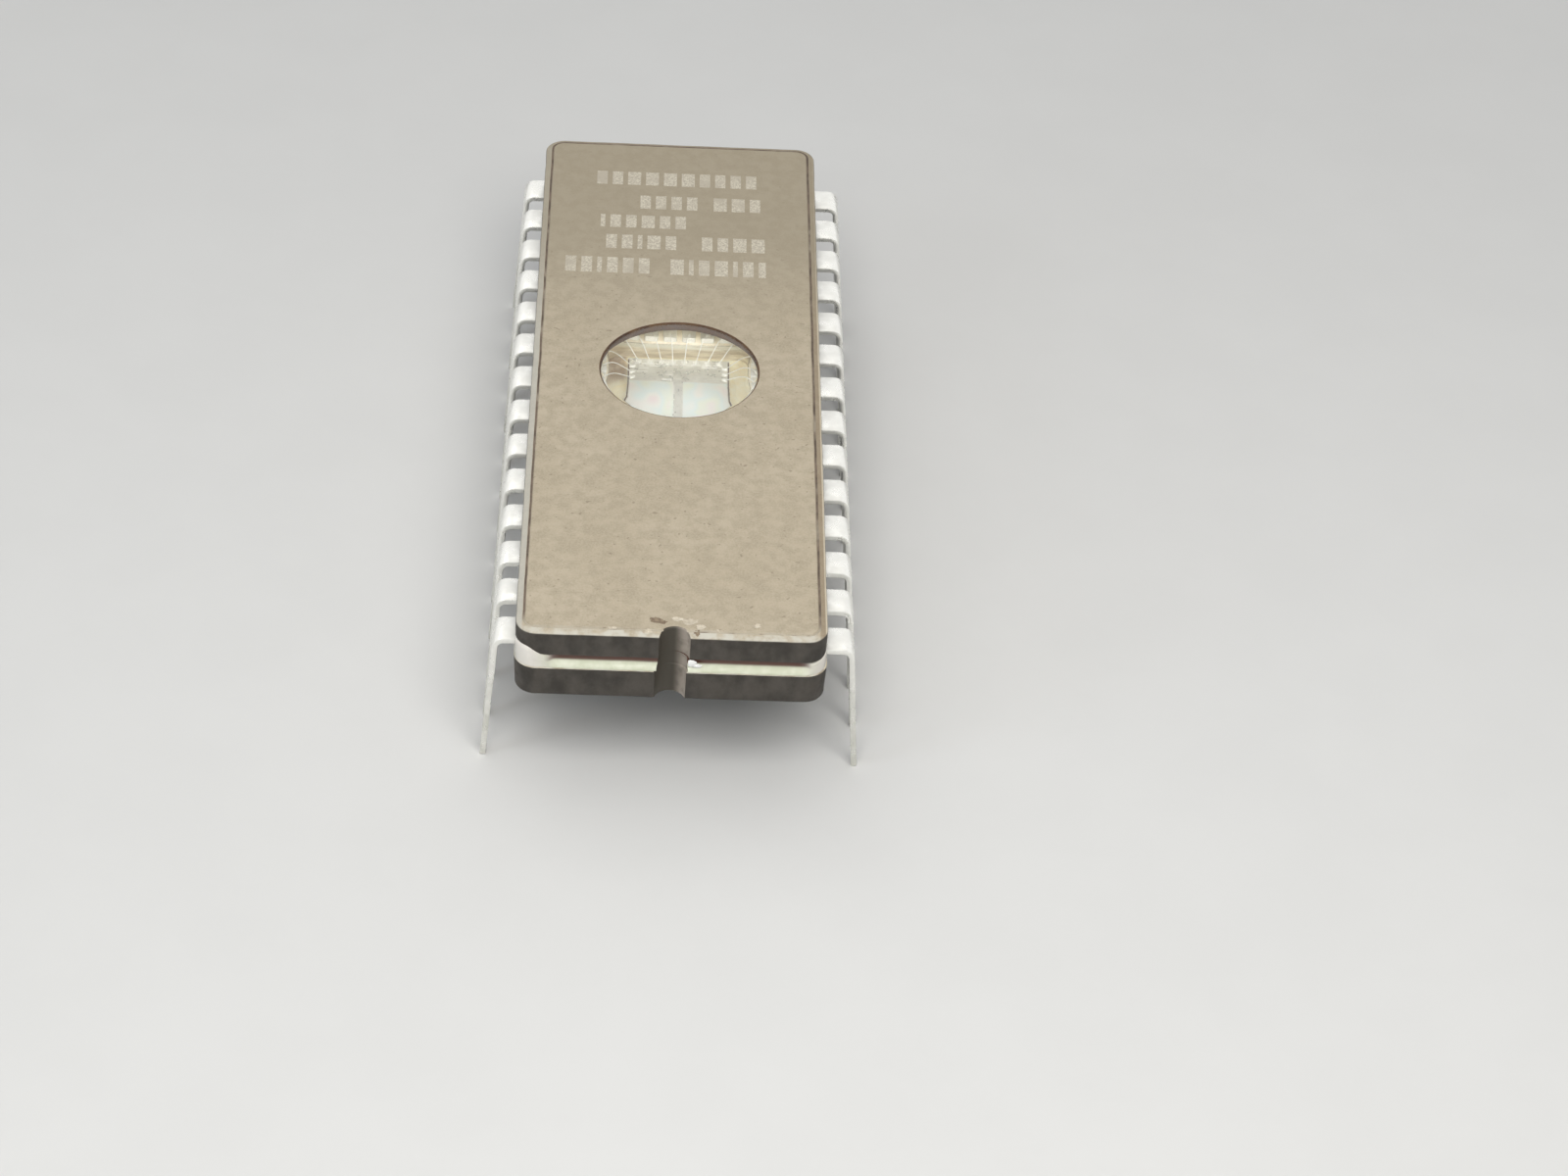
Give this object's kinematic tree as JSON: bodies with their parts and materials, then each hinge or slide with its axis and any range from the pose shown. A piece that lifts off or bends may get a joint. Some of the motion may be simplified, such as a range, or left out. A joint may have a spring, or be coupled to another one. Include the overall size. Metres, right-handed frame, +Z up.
{
  "type": "eprom chip",
  "caption": "Ceramic dual in-line memory chip with a round glass window over its die and two rows of splayed, tinned leads.",
  "frame": {"origin": "on the surface under the lead tips, below the centre of the package", "axes": "+Z up; +Y along the length, away from the notched end; +X across the width, on the side of lead 1"},
  "size_m": [0.0162, 0.0372, 0.0087],
  "materials": {
    "pressed_ceramic": "matt pressed alumina, warm taupe, fine mottling",
    "seal_glass": "glossy dark brown solder glass",
    "tinned_leads": "bright tin over an iron-nickel strip",
    "window_glass": "clear ultraviolet-clear glass",
    "die_attach": "satin gold-coloured die attach layer",
    "silicon_die": "polished silicon with pale iridescent cell arrays and aluminium wires"
  },
  "bodies": {
    "root": {"ceramic_base": "pressed_ceramic", "ceramic_cap": "pressed_ceramic", "die_and_bond_wires": "silicon_die", "die_attach": "die_attach", "lead_01": "tinned_leads", "lead_02": "tinned_leads", "lead_03": "tinned_leads", "lead_04": "tinned_leads", "lead_05": "tinned_leads", "lead_06": "tinned_leads", "lead_07": "tinned_leads", "lead_08": "tinned_leads", "lead_09": "tinned_leads", "lead_10": "tinned_leads", "lead_11": "tinned_leads", "lead_12": "tinned_leads", "lead_13": "tinned_leads", "lead_14": "tinned_leads", "lead_15": "tinned_leads", "lead_16": "tinned_leads", "lead_17": "tinned_leads", "lead_18": "tinned_leads", "lead_19": "tinned_leads", "lead_20": "tinned_leads", "lead_21": "tinned_leads", "lead_22": "tinned_leads", "lead_23": "tinned_leads", "lead_24": "tinned_leads", "lead_25": "tinned_leads", "lead_26": "tinned_leads", "lead_27": "tinned_leads", "lead_28": "tinned_leads", "seal_glass": "seal_glass", "window_glass": "window_glass"}
  },
  "joints": []
}
